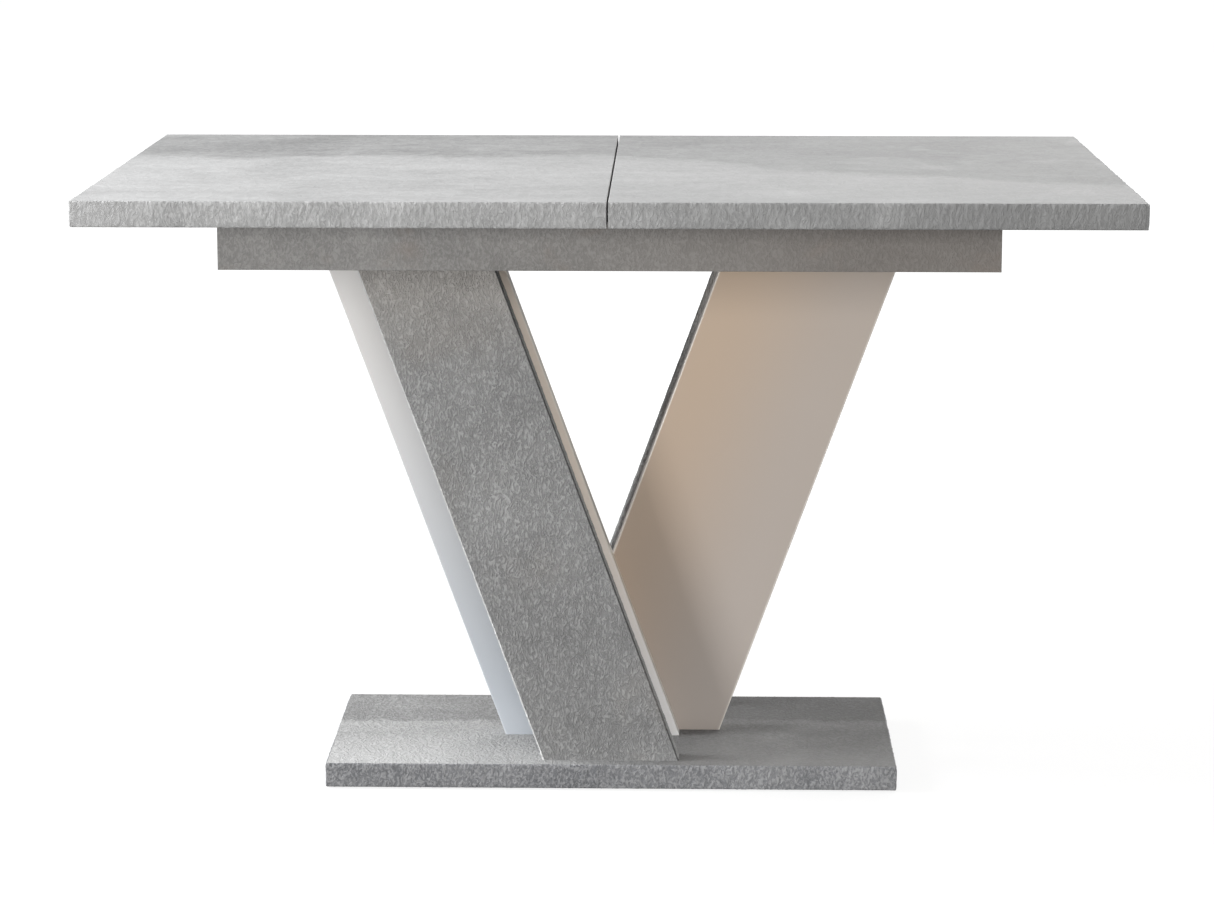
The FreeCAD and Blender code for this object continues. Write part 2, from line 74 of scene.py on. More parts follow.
# stage: a pale floor that brightens into a white surround, and soft lights
studio = {
    "white": (1.0, 1.0, 1.0), "black": (0.0, 0.0, 0.0), "roundPoints": 64,
    "floorColour": (0.20, 0.20, 0.20), "floorRadius": 12.0,
    "glowNear": 0.84, "glowFar": 1.0, "glowStart": 0.9, "glowEnd": 2.6,
    "domeRadius": 14.0, "domeRows": 12, "domeFoot": -0.2,
    "skyAbove": 0.38, "skyBelow": 0.13, "skyBand": 0.15,
    "lights": {
        "leftKey": {"place": (-4.6, -0.15, 3.5), "aim": (0.0, 0.0, 0.4), "size": (2.6, 2.6), "watts": 425.0,
                    "colour": (0.98, 0.99, 1.0)},
        "frontSoft": {"place": (0.6, -4.2, 1.35), "aim": (0.0, 0.0, 0.4), "size": (2.2, 1.2), "watts": 62.0,
                      "colour": (1.0, 0.99, 0.97)},
        "lowLeft": {"place": (-2.3, -3.5, 0.45), "aim": (0.0, 0.0, 0.45), "size": (1.2, 0.6), "watts": 62.0,
                    "colour": (1.0, 1.0, 1.0)},
        "backFill": {"place": (1.6, 3.4, 1.8), "aim": (0.0, 0.0, 0.4), "size": (2.4, 1.6), "watts": 70.0,
                     "colour": (1.0, 0.98, 0.95)},
        "rightSide": {"place": (4.2, 1.5, 1.1), "aim": (0.0, 0.0, 0.4), "size": (1.6, 1.6), "watts": 55.0,
                      "colour": (1.0, 0.99, 0.98)},
    },
}


def stagePiece(name, points, faces):
    mesh = bpy.data.meshes.new(name)
    mesh.from_pydata(points, [], faces)
    thing = bpy.data.objects.new(name, mesh)
    scene.collection.objects.link(thing)
    return thing


def makeFloor(settings):
    # one round face with points (reach cos turn, reach sin turn, 0); its glow grows from the table outwards
    count = settings["roundPoints"]
    reach = settings["floorRadius"]
    turns = np.linspace(0, 2 * np.pi, count, endpoint=False)
    rim = np.column_stack([reach * np.cos(turns), reach * np.sin(turns), 0 * turns])
    floor = stagePiece("floor", rim.tolist(), [tuple(range(count))])
    paint = Finish("paleFloor")
    radius = paint.node("ShaderNodeVectorMath", {"operation": "LENGTH"}, {0: paint.place}, out="Value")
    glow = paint.ease(radius, settings["glowStart"], settings["glowEnd"],
                      settings["glowNear"], settings["glowFar"])
    shade = paint.node("ShaderNodeCombineColor", None, {0: glow, 1: glow, 2: glow})
    paint.set(Base_Color=settings["floorColour"], Roughness=1.0, Specular_IOR_Level=0.0,
              Emission_Color=shade, Emission_Strength=1.0)
    # seen from underneath, the floor is clear
    paint.set(Alpha=1.0 - paint.node("ShaderNodeNewGeometry", out="Backfacing"))
    floor.data.materials.append(paint.material)
    floor.visible_diffuse = False
    floor.visible_glossy = False


def makeSurround(settings):
    # a white dome that only the camera sees: (cos around cos up, sin around cos up, sin up) times its radius
    count = settings["roundPoints"]
    rows = settings["domeRows"]
    turns = np.linspace(0, 2 * np.pi, count, endpoint=False)
    around, up = np.meshgrid(turns, np.linspace(settings["domeFoot"], np.pi / 2, rows))
    ball = np.stack([np.cos(around) * np.cos(up), np.sin(around) * np.cos(up), np.sin(up)], axis=-1)
    shell = ball * settings["domeRadius"]
    index = np.arange(rows * count).reshape(rows, count)
    after = np.roll(index, -1, axis=1)
    faces = np.stack([index[:-1], after[:-1], after[1:], index[1:]], axis=-1).reshape(-1, 4)
    dome = stagePiece("surround", shell.reshape(-1, 3).tolist(), faces.tolist())
    paint = Finish("whiteSurround")
    paint.set(Base_Color=settings["black"], Emission_Color=settings["white"], Emission_Strength=1.0)
    dome.data.materials.append(paint.material)
    dome.visible_diffuse = False
    dome.visible_glossy = False
    dome.visible_shadow = False
    dome.visible_transmission = False


def makeSky(settings):
    # white light from all round, from skyBelow to skyAbove as its direction rises through the band
    world = bpy.data.worlds.new("sky")
    world.use_nodes = True
    sky = world.node_tree
    toward = sky.nodes.new("ShaderNodeTexCoord")
    split = sky.nodes.new("ShaderNodeSeparateXYZ")
    share = sky.nodes.new("ShaderNodeMapRange")
    limits = (-settings["skyBand"], settings["skyBand"], settings["skyBelow"], settings["skyAbove"])
    for key, value in enumerate(limits):
        share.inputs[key + 1].default_value = value
    sky.links.new(toward.outputs["Generated"], split.inputs[0])
    sky.links.new(split.outputs["Z"], share.inputs[0])
    sky.links.new(share.outputs[0], sky.nodes["Background"].inputs["Strength"])
    sky.nodes["Background"].inputs["Color"].default_value = (*settings["white"], 1.0)
    scene.world = world


def makeLights(settings):
    # rectangles of light, each with its back turned away from its aim
    for name, light in settings["lights"].items():
        lamp = bpy.data.lights.new(name, "AREA")
        lamp.shape = "RECTANGLE"
        lamp.size, lamp.size_y = light["size"]
        lamp.energy = light["watts"]
        lamp.color = light["colour"]
        holder = bpy.data.objects.new(name, lamp)
        holder.location = light["place"]
        away = Vector(light["place"]) - Vector(light["aim"])
        holder.rotation_euler = away.to_track_quat("Z", "Y").to_euler()
        scene.collection.objects.link(holder)


# shader maths: a Wire is a socket that can be added, multiplied and so on
class Wire:
    def __init__(self, finish, socket):
        self.finish = finish
        self.socket = socket

    def maths(self, operation, *others, turned=False):
        values = [*others, self] if turned else [self, *others]
        return self.finish.node("ShaderNodeMath", {"operation": operation}, dict(enumerate(values)))

    def __add__(self, other):
        return self.maths("ADD", other)

    def __radd__(self, other):
        return self.maths("ADD", other)

    def __sub__(self, other):
        return self.maths("SUBTRACT", other)

    def __rsub__(self, other):
        return self.maths("SUBTRACT", other, turned=True)

    def __mul__(self, other):
        return self.maths("MULTIPLY", other)

    def __rmul__(self, other):
        return self.maths("MULTIPLY", other)

    def __abs__(self):
        return self.maths("ABSOLUTE")

    def swing(self, share):
        # a noise's distance from its middle, times share
        return (self - 0.5) * share


# a Finish is one material: node makes any shader node, and set fills the sockets of the shader itself
class Finish:
    def __init__(self, name):
        self.material = bpy.data.materials.new(name)
        self.material.use_nodes = True
        self.tree = self.material.node_tree
        self.skin = self.tree.nodes["Principled BSDF"]
        self.place = self.node("ShaderNodeTexCoord", out="Object")

    def node(self, kind, settings=None, values=None, out=0):
        made = self.tree.nodes.new(kind)
        for key, value in (settings or {}).items():
            setattr(made, key, value)
        for key, value in (values or {}).items():
            self.fill(made.inputs[key], value)
        return Wire(self, made.outputs[out])

    def fill(self, socket, value):
        if isinstance(value, Wire):
            self.tree.links.new(value.socket, socket)
        elif isinstance(value, tuple) and len(value) == 3 and len(socket.default_value) == 4:
            socket.default_value = (*value, 1.0)
        else:
            socket.default_value = value

    def set(self, **values):
        for key, value in values.items():
            self.fill(self.skin.inputs[key.replace("_", " ")], value)

    def stretched(self, scale, offset=(0.0, 0.0, 0.0), place=None):
        # place times scale plus offset, axis by axis
        return self.node("ShaderNodeMapping", None,
                         {"Vector": place or self.place, "Scale": scale, "Location": offset})

    def noise(self, place, scale, detail, roughness=0.5, distortion=0.0, out=0):
        # a cloudy random field about one half, finer as its scale grows
        values = {"Vector": place, "Scale": scale, "Detail": detail, "Roughness": roughness,
                  "Distortion": distortion}
        return self.node("ShaderNodeTexNoise", None, values, out)

    def mix(self, share, first, second):
        # first times (1 - share) plus second times share, with share held from 0 to 1
        return self.node("ShaderNodeMix", {"data_type": "RGBA"}, {0: share, 6: first, 7: second}, out=2)

    def ease(self, value, low, high, toLow=0.0, toHigh=1.0):
        # with t the share of the way from low to high, held from 0 to 1:
        # toLow plus (toHigh - toLow) times t squared times (3 - 2 t)
        return self.node("ShaderNodeMapRange", {"interpolation_type": "SMOOTHSTEP"},
                         {0: value, 1: low, 2: high, 3: toLow, 4: toHigh})

    def axis(self, name):
        return self.node("ShaderNodeSeparateXYZ", None, {0: self.place}, out=name)

    def alongLean(self, lean):
        # X plus Z times lean, which stays the same from the foot to the head of a leaning board
        return self.axis("X") + self.axis("Z") * lean

    def bump(self, height, depth, strength):
        return self.node("ShaderNodeBump", None, {"Strength": strength, "Distance": depth, "Height": height})


makeCamera(viewpoint)
makeFloor(studio)
makeSurround(studio)
makeSky(studio)
makeLights(studio)
scene.view_settings.view_transform = "Standard"
scene.view_settings.look = "None"
print("camera and stage made")


legLean = 0.3658      # how far the left leg leans to the left for each metre of height

# concrete decor: printed grey clouds, streaks and a torn darker zone (printed on the top, a painted shadow
# edge on the base), under a foil embossed with short wrinkles; a look's Noise is its detail, roughness and
# distortion
plainConcrete = {
    "dark": (0.24, 0.24, 0.24), "light": (0.66, 0.66, 0.66),
    "cloudScale": 3.2, "cloudNoise": (5.0, 0.58, 0.35), "cloudShare": 0.8,
    "patchScale": 9.0, "patchNoise": (4.0, 0.62, 0.8), "patchShare": 0.5,
    "patchStretch": (1.0, 1.7, 1.7), "patchOffset": (3.1, 0.4, 0.0),
    "streakStretch": (5.0, 26.0, 26.0), "streakNoise": (4.0, 0.6, 0.4), "streakShare": 0.25,
    "grainScale": 900.0, "grainNoise": (2.0, 0.6), "grainShare": 0.2,
    "driftScale": 40.0, "driftDetail": 2.0, "drift": 0.02,
    "strokeStretch": (110.0, 70.0, 110.0),
    "ridgeNoise": (2.0, 0.55, 0.5), "ridgeEdge": (0.36, 0.64), "ridgeShare": 0.10,
    "fineScale": 2.3, "fineNoise": (2.0, 0.6, 0.3), "fineShare": 0.25,
    "tearScale": 60.0, "tearNoise": (3.0, 0.6),
    "paintedShades": [], "shadeSway": 0.15,
    "stain": (0.60, 0.60, 0.60), "stainShare": 0.3,
    "stainScale": 7.0, "stainNoise": (4.0, 0.6, 0.5), "stainEdge": (0.54, 0.75),
    "reliefDepth": 0.0006, "reliefStrength": 0.6, "ridgeRelief": 0.7, "fineRelief": 0.3, "patchRelief": 0.3,
    "roughness": 0.80, "grainRoughness": 0.2, "patchRoughness": 0.15, "specular": 0.18,
}
# each painted shade is painted light or shade laid into the colour, a slow drift of tone: the axis it
# follows, where it starts and is full, its tint and share
concreteLooks = {
    "topConcrete": {
        "cloudShare": 0.55, "patchShare": 0.40,
        "zoneY": 0.10, "zoneSlope": 0.5, "zoneSway": 0.35, "zoneTear": 0.06, "zoneSoft": 0.03,
        "zoneShare": 0.30,
        # painted shade: the top darker towards the right, away from the light on the left
        "paintedShades": [("X", -0.35, 0.35, (0.38, 0.38, 0.38), 0.42)],
    },
    # base plate: painted light and shadow; a lower light tone than the top's, the torn zone darker behind its
    # line as a painted shadow edge of the top, lighter towards the front as painted light, and darker to the
    # right as the painted shadow of the legs
    "baseConcrete": {
        "light": (0.55, 0.55, 0.55), "cloudShare": 0.4, "patchShare": 0.25, "stainShare": 0.1,
        "zoneY": 0.04, "zoneSlope": 0.0, "zoneSway": 0.10, "zoneTear": 0.03, "zoneSoft": 0.008,
        "zoneShare": 0.40,
        "strokeStretch": (250.0, 200.0, 200.0), "ridgeShare": 0.34, "fineShare": 0.5,
        "reliefDepth": 0.0014, "reliefStrength": 1.0,
        "paintedShades": [("Y", 0.0, -0.17, (0.72, 0.72, 0.72), 0.42),
                   ("X", -0.30, 0.12, (0.11, 0.11, 0.11), 0.62)],
    },
    "edgeConcrete": {
        "cloudScale": 6.0, "streakStretch": (20.0, 20.0, 6.0), "drift": 0.012,
        "strokeStretch": (380.0, 380.0, 160.0), "ridgeShare": 0.26, "fineShare": 0.4,
        "reliefDepth": 0.0008, "reliefStrength": 1.0,
        # painted shade: the edge bands darker towards the right, away from the light on the left
        "paintedShades": [("X", -0.5, 0.5, (0.22, 0.22, 0.22), 0.82)],
    },
    # base edge band: a darker palette than the top's edge bands, painted shade low down on the front
    "baseEdgePaintedShade": {
        "dark": (0.15, 0.155, 0.165), "light": (0.42, 0.42, 0.43), "stain": (0.34, 0.34, 0.33),
        "cloudScale": 8.0, "streakStretch": (20.0, 20.0, 6.0), "drift": 0.012,
        "strokeStretch": (360.0, 360.0, 240.0), "ridgeShare": 0.55, "fineShare": 0.5,
        "reliefDepth": 0.0010, "reliefStrength": 1.0,
    },
    "legConcrete": {
        # a darker palette than the top's, painted shade on the upright boards
        "dark": (0.17, 0.17, 0.17), "light": (0.55, 0.55, 0.55),
        "stain": (0.36, 0.33, 0.30), "stainShare": 0.25,
        "cloudScale": 5.5, "cloudShare": 0.5, "patchScale": 14.0, "patchShare": 0.35,
        "streakStretch": (30.0, 30.0, 8.0), "streakShare": 0.2, "drift": 0.014,
        "strokeStretch": (440.0, 440.0, 190.0), "ridgeShare": 0.34, "fineShare": 0.5,
        "reliefDepth": 0.0018, "reliefStrength": 1.0,
        # painted shade darker towards the foot; painted light with a warm painted reflection near the head
        "paintedShades": [("Z", 0.45, 0.02, (0.22, 0.22, 0.22), 0.34),
                   ("Z", 0.50, 0.66, (0.58, 0.53, 0.48), 0.42)],
    },
    "apronConcrete": {
        # a darker palette than the top's, painted shade under the top's overhang
        "dark": (0.16, 0.157, 0.153), "light": (0.43, 0.42, 0.41),
        "stain": (0.27, 0.225, 0.195), "stainShare": 0.5, "stainScale": 11.0,
        "cloudScale": 4.5, "cloudShare": 0.6, "patchScale": 14.0, "patchShare": 0.45,
        "streakStretch": (6.0, 50.0, 50.0), "drift": 0.012,
        "strokeStretch": (360.0, 360.0, 200.0), "ridgeShare": 0.27, "fineShare": 0.4,
        "reliefDepth": 0.0008, "reliefStrength": 0.8,
        # painted shade: darker towards the right, away from the light on the left, with a warm tint of
        # painted reflected light
        "paintedShades": [("X", -0.30, 0.35, (0.19, 0.165, 0.145), 0.55)],
    },
}
# the left leg's bands: a painted highlight on the front arris outside and painted shade on the one in the V;
# shadeY keeps both to the front
concreteLooks["leftLegEdgeHighlightAndShade"] = {
    **concreteLooks["legConcrete"], "lean": legLean, "shadeY": (-0.1395, -0.1425),
    "paintedShades": [("lean", 0.06, -0.03, (0.90, 0.90, 0.90), 0.8),
               ("lean", 0.0, 0.07, (0.04, 0.04, 0.04), 0.75)],
}


def tornZone(finish, look, clouds):
    # from 0 before a torn line to 1 behind it; the line lies at zoneY, comes forward to the right by
    # zoneSlope times X, and wanders with the clouds and a finer noise
    slant = finish.node("ShaderNodeMath", {"operation": "MAXIMUM"}, {0: finish.axis("X"), 1: 0.0})
    tear = finish.noise(finish.place, look["tearScale"], *look["tearNoise"])
    line = (finish.axis("Y") + slant * look["zoneSlope"] - look["zoneY"] + clouds.swing(look["zoneSway"])
            + tear.swing(look["zoneTear"]))
    return finish.ease(line, -look["zoneSoft"], look["zoneSoft"])


def concreteDecor(name, look):
    # tone is one half plus the swing of each noise, less the torn zone; colour goes from dark to light by
    # tone, with the painted shades (painted light and shade) and then the stains mixed over it; relief is the
    # wrinkles and some of the patches
    finish = Finish(name)
    clouds = finish.noise(finish.place, look["cloudScale"], *look["cloudNoise"])
    patches = finish.noise(finish.stretched(look["patchStretch"], look["patchOffset"]),
                           look["patchScale"], *look["patchNoise"])
    streaks = finish.noise(finish.stretched(look["streakStretch"]), 1.0, *look["streakNoise"])
    grain = finish.noise(finish.place, look["grainScale"], *look["grainNoise"])
    # the wrinkles are noises over a stretched place that drifts a little from side to side
    drift = finish.noise(finish.place, look["driftScale"], look["driftDetail"], out="Color")
    drifted = finish.node("ShaderNodeVectorMath", {"operation": "MULTIPLY_ADD"},
                          {0: drift, 1: (look["drift"],) * 3, 2: finish.place})
    strokes = finish.stretched(look["strokeStretch"], place=drifted)
    ridges = finish.ease(finish.noise(strokes, 1.0, *look["ridgeNoise"]), *look["ridgeEdge"])
    fine = finish.noise(strokes, look["fineScale"], *look["fineNoise"])
    tone = (0.5 + clouds.swing(look["cloudShare"]) + patches.swing(look["patchShare"])
            + streaks.swing(look["streakShare"]) + grain.swing(look["grainShare"])
            + ridges.swing(look["ridgeShare"]) + fine.swing(look["fineShare"]))
    if "zoneY" in look:
        tone = tone - tornZone(finish, look, clouds) * look["zoneShare"]
    colour = finish.mix(tone, look["dark"], look["light"])
    # painted light and shade: each painted shade mixes its tint in as it reaches along its axis
    for axis, start, end, tint, share in look["paintedShades"]:
        place = finish.alongLean(look["lean"]) if axis == "lean" else finish.axis(axis)
        reach = finish.ease(place + clouds.swing(look["shadeSway"]), start, end)
        if "shadeY" in look:
            reach = reach * finish.ease(finish.axis("Y"), *look["shadeY"])
        colour = finish.mix(reach * share, colour, tint)
    blots = finish.noise(finish.place, look["stainScale"], *look["stainNoise"])
    stain = finish.ease(blots, *look["stainEdge"])
    colour = finish.mix(stain * look["stainShare"], colour, look["stain"])
    relief = ridges * look["ridgeRelief"] + fine * look["fineRelief"] + patches * look["patchRelief"]
    dullness = look["roughness"] + grain.swing(look["grainRoughness"]) + patches.swing(look["patchRoughness"])
    finish.set(Base_Color=colour, Roughness=dullness, Specular_IOR_Level=look["specular"],
               Normal=finish.bump(relief, look["reliefDepth"], look["reliefStrength"]))
    return finish.material


levelSlack = 1e-5     # how near a point lies to a board's foot or head to count as on it, in metres


def nodePoints(node):
    mesh = nodes[node].data
    points = np.empty(len(mesh.vertices) * 3)
    mesh.vertices.foreach_get("co", points)
    return points.reshape(-1, 3)


def slantOf(node):
    # the X span of a leaning board at its foot and at its head
    low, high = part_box(node)
    points = nodePoints(node)
    foot = points[points[:, 2] < low[2] + levelSlack, 0]
    head = points[points[:, 2] > high[2] - levelSlack, 0]
    return np.array([[foot.min(), foot.max()], [head.min(), head.max()]])


# lacquer: a clear gloss over a smooth sprayed board; painted shade and painted reflection drift up the board
# and across it, and painted highlights run along its long edges
plainLacquer = {
    "rise": (0.03, 0.66),
    "hazeScale": 6.0, "hazeNoise": (3.0, 0.5, 0.3), "haze": (0.55, 0.52, 0.50), "hazeShare": 0.06,
    "peelScale": 260.0, "peelNoise": (2.0, 0.5), "peelDepth": 0.00006, "peelStrength": 0.5,
    "roughness": 0.30, "hazeRoughness": 0.08, "coat": 0.45, "coatRoughness": 0.12, "rimInset": 0.0004,
}
lacquerLooks = {
    "leftLacquerPaintedLightAndShade": {
        "board": "left_light_leg_board", "lean": legLean,
        # painted shade and a cool painted reflection: darker and bluish towards the foot; painted warm
        # reflection across to its right side
        "foot": (0.57, 0.61, 0.66), "head": (0.96, 0.94, 0.92),
        "across": (0.035, 0.085), "acrossShare": 1.0,
        "side": (0.95, 0.84, 0.73), "sideFoot": (0.97, 0.96, 0.95), "sideUp": (0.02, 0.40),
        "rim": (0.95, 0.95, 0.95), "rimWidth": 0.0022, "rimHighlightShare": 0.2,
    },
    "rightLacquerPaintedLightAndShade": {
        "board": "right_light_leg_board", "lean": -legLean,
        # painted shade and warm painted reflection: a white board coloured beige, darker towards the foot,
        # greyer across its right side
        "foot": (0.51, 0.41, 0.33), "head": (0.66, 0.51, 0.38),
        "across": (-0.08, 0.10), "acrossShare": 0.6,
        "side": (0.54, 0.51, 0.49), "sideFoot": (0.54, 0.51, 0.49), "sideUp": (-0.2, 0.03),
        "rim": (0.95, 0.90, 0.84), "rimWidth": 0.0030, "rimHighlightShare": 0.8,
    },
}


def lacquer(name, look):
    # colour goes from foot to head by height, then to the side tint across the board, painted shade and
    # painted reflection, under a faint haze
    finish = Finish(name)
    place = finish.alongLean(look["lean"])
    colour = finish.mix(finish.ease(finish.axis("Z"), *look["rise"]), look["foot"], look["head"])
    side = finish.mix(finish.ease(finish.axis("Z"), *look["sideUp"]), look["sideFoot"], look["side"])
    colour = finish.mix(finish.ease(place, *look["across"]) * look["acrossShare"], colour, side)
    haze = finish.noise(finish.place, look["hazeScale"], *look["hazeNoise"])
    colour = finish.mix(haze * look["hazeShare"], colour, look["haze"])
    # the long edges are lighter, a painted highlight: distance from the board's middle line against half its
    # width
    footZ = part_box(look["board"])[0][2]
    start, end = slantOf(look["board"])[0] + footZ * look["lean"]
    middle = float(start + end) / 2
    half = float(end - start) / 2
    rim = finish.ease(abs(place - middle), half - look["rimWidth"], half - look["rimInset"])
    colour = finish.mix(rim * look["rimHighlightShare"], colour, look["rim"])
    peel = finish.noise(finish.place, look["peelScale"], *look["peelNoise"])
    finish.set(Base_Color=colour, Roughness=look["roughness"] + haze.swing(look["hazeRoughness"]),
               Normal=finish.bump(peel, look["peelDepth"], look["peelStrength"]),
               Coat_Weight=look["coat"], Coat_Roughness=look["coatRoughness"])
    return finish.material


# slide profiles: extruded aluminium with fine lines along its length
aluminiumLook = {
    "dark": (0.62, 0.63, 0.64), "light": (0.80, 0.81, 0.82),
    "lineStretch": (3.0, 900.0, 900.0), "lineNoise": (3.0, 0.6), "lineShare": 0.5,
    "dullScale": 18.0, "dullNoise": (3.0, 0.55), "dullShare": 0.5,
    "roughness": 0.30, "lineRoughness": 0.12, "dullRoughness": 0.1, "depth": 0.00008, "strength": 0.5,
}


def aluminium(name, look):
    # colour by equal shares of the lines and of a broad dullness; the lines are also the relief
    finish = Finish(name)
    lines = finish.noise(finish.stretched(look["lineStretch"]), 1.0, *look["lineNoise"])
    dull = finish.noise(finish.place, look["dullScale"], *look["dullNoise"])
    tone = lines * look["lineShare"] + dull * look["dullShare"]
    roughness = look["roughness"] + lines * look["lineRoughness"] + dull * look["dullRoughness"]
    finish.set(Base_Color=finish.mix(tone, look["dark"], look["light"]), Roughness=roughness, Metallic=1.0,
               Normal=finish.bump(lines, look["depth"], look["strength"]))
    return finish.material


# zinc plate: bluish bright steel with faint rainbow-yellow patches
zincLook = {
    "blue": (0.66, 0.70, 0.74), "yellow": (0.76, 0.72, 0.60),
    "patchScale": 220.0, "patchNoise": (3.0, 0.6, 0.5), "scuffScale": 1500.0, "scuffNoise": (2.0, 0.6),
    "roughness": 0.28, "scuffRoughness": 0.2, "depth": 0.00005, "strength": 0.4,
}


def zincPlate(name, look):
    # colour from blue to yellow by the patches; the scuffs roughen it and are its relief
    finish = Finish(name)
    patches = finish.noise(finish.place, look["patchScale"], *look["patchNoise"])
    scuffs = finish.noise(finish.place, look["scuffScale"], *look["scuffNoise"])
    finish.set(Base_Color=finish.mix(patches, look["blue"], look["yellow"]), Metallic=1.0,
               Roughness=look["roughness"] + scuffs * look["scuffRoughness"],
               Normal=finish.bump(scuffs, look["depth"], look["strength"]))
    return finish.material


# plastic: moulded, slightly sparked surface
plainPlastic = {
    "sparkScale": 2200.0, "sparkNoise": (2.0, 0.6), "wearScale": 60.0, "wearNoise": (3.0, 0.6),
    "roughness": 0.38, "sparkRoughness": 0.2, "depth": 0.00006, "strength": 0.6,
}
plasticLooks = {
    "gearPlastic": {"dark": (0.020, 0.020, 0.022), "light": (0.05, 0.05, 0.05)},
    "glidePlastic": {"dark": (0.03, 0.03, 0.03), "light": (0.07, 0.07, 0.07)},
}


def mouldedPlastic(name, look):
    # colour from dark to light by the wear; the spark marks roughen it and are its relief
    finish = Finish(name)
    spark = finish.noise(finish.place, look["sparkScale"], *look["sparkNoise"])
    wear = finish.noise(finish.place, look["wearScale"], *look["wearNoise"])
    finish.set(Base_Color=finish.mix(wear, look["dark"], look["light"]),
               Roughness=look["roughness"] + spark * look["sparkRoughness"],
               Normal=finish.bump(spark, look["depth"], look["strength"]))
    return finish.material


# beech: pinkish straight grain with short dark flecks
beechLook = {
    "dark": (0.46, 0.27, 0.14), "light": (0.66, 0.44, 0.27), "fleck": (0.30, 0.15, 0.07),
    "growthStretch": (6.0, 120.0, 120.0), "growthNoise": (4.0, 0.6, 0.6),
    "fleckStretch": (90.0, 1400.0, 1400.0), "fleckNoise": (2.0, 0.5), "fleckEdge": (0.62, 0.75),
    "fleckShare": 0.5, "roughness": 0.55, "growthRoughness": 0.15, "depth": 0.0001, "strength": 0.5,
}


def beech(name, look):
    # colour from dark to light by the growth lines, with the flecks over it; both together are the relief
    finish = Finish(name)
    growth = finish.noise(finish.stretched(look["growthStretch"]), 1.0, *look["growthNoise"])
    specks = finish.noise(finish.stretched(look["fleckStretch"]), 1.0, *look["fleckNoise"])
    flecks = finish.ease(specks, *look["fleckEdge"])
    colour = finish.mix(growth, look["dark"], look["light"])
    colour = finish.mix(flecks * look["fleckShare"], colour, look["fleck"])
    finish.set(Base_Color=colour, Roughness=look["roughness"] + growth * look["growthRoughness"],
               Normal=finish.bump(growth + flecks, look["depth"], look["strength"]))
    return finish.material


# felt: matted grey fibres
feltLook = {
    "dark": (0.05, 0.05, 0.055), "light": (0.20, 0.20, 0.21),
    "fibreStretch": (1.0, 0.4, 1.0), "fibreScale": 2600.0, "fibreNoise": (3.0, 0.7, 2.0), "fibreShare": 0.6,
    "matScale": 260.0, "matNoise": (3.0, 0.6, 1.0), "matShare": 0.4,
    "roughness": 0.95, "sheen": 0.3, "depth": 0.0004, "strength": 0.8,
}


def felt(name, look):
    # colour by the shares of the fibres and of the matting; their sum is the relief
    finish = Finish(name)
    fibres = finish.noise(finish.stretched(look["fibreStretch"]), look["fibreScale"], *look["fibreNoise"])
    matting = finish.noise(finish.place, look["matScale"], *look["matNoise"])
    tone = fibres * look["fibreShare"] + matting * look["matShare"]
    finish.set(Base_Color=finish.mix(tone, look["dark"], look["light"]), Roughness=look["roughness"],
               Normal=finish.bump(fibres + matting, look["depth"], look["strength"]),
               Sheen_Weight=look["sheen"])
    return finish.material


materials = {name: concreteDecor(name, {**plainConcrete, **look}) for name, look in concreteLooks.items()}
materials.update({name: lacquer(name, {**plainLacquer, **look}) for name, look in lacquerLooks.items()})
materials["aluminium"] = aluminium("aluminium", aluminiumLook)
materials["zincPlate"] = zincPlate("zincPlate", zincLook)
for name, look in plasticLooks.items():
    materials[name] = mouldedPlastic(name, {**plainPlastic, **look})
materials["beech"] = beech("beech", beechLook)
materials["felt"] = felt("felt", feltLook)
print("materials:", len(materials))


# which finish each CAD node wears: by its own name, or else by its material slot
finishOfSlot = {
    "concrete_board": "topConcrete", "concrete_edging": "edgeConcrete", "graphite_board": "legConcrete",
    "graphite_edging": "legConcrete", "apron_board": "apronConcrete", "slide_aluminium": "aluminium",
    "gear_plastic": "gearPlastic", "beech": "beech", "felt": "felt", "glide_plastic": "glidePlastic",
    "zinc_steel": "zincPlate",
}
finishOfNode = {
    "left_light_leg_board": "leftLacquerPaintedLightAndShade", "right_light_leg_board": "rightLacquerPaintedLightAndShade",
    "base_plate": "baseConcrete", "left_seam_band": "topConcrete", "right_seam_band": "topConcrete",
}
bodyOf = {node: body for body, held in frame["record"]["behaviour"]["bodies"].items() for node in held}
slotOf = {entry["node"]: entry["material_slot"] for entry in frame["record"]["subparts"]}


def dress(thing, finish):
    mesh = thing.data
    if not mesh.materials:
        mesh.materials.append(None)
    for slot in thing.material_slots:
        slot.material = finish


for nodeName, thing in nodes.items():
    dress(thing, materials[finishOfNode.get(nodeName) or finishOfSlot[slotOf[nodeName]]])
print("nodes dressed")


# edge bands: rounded, with the decor's emboss pressed into them so that their corners run a little ragged
bandLook = {
    "round": 0.0012, "roundSteps": 5, "cornerSteps": 6, "step": 0.0014, "rows": 15, "seed": 11,
    "pressed": 0.00035, "stroke": (0.0040, 0.008), "strokeStretch": (1.0, 1.0, 0.45),
    "ragged": 0.0008, "tear": (0.0035, 0.011), "tearStretch": (1.0, 1.0, 0.3),
    "tearReach": 0.003, "tearIn": 0.4, "tearAcross": 0.5,
}
legBandLook = {**bandLook, "pressed": 0.00025, "ragged": 0.0004}
flatBands = {
    "leftTopEdgeBand": {"edging": "left_top_edging", "board": "left_top_board",
                        "finish": "edgeConcrete", "openSide": 1},
    "rightTopEdgeBand": {"edging": "right_top_edging", "board": "right_top_board",
                         "finish": "edgeConcrete", "openSide": -1},
    "baseEdgeBand": {"edging": "base_edging", "board": "base_plate", "finish": "baseEdgePaintedShade", "openSide": 0},
}
legBandFinish = {"left": "leftLegEdgeHighlightAndShade", "right": "legConcrete"}
waveCount = 40        # how many cosine waves make up a ripple
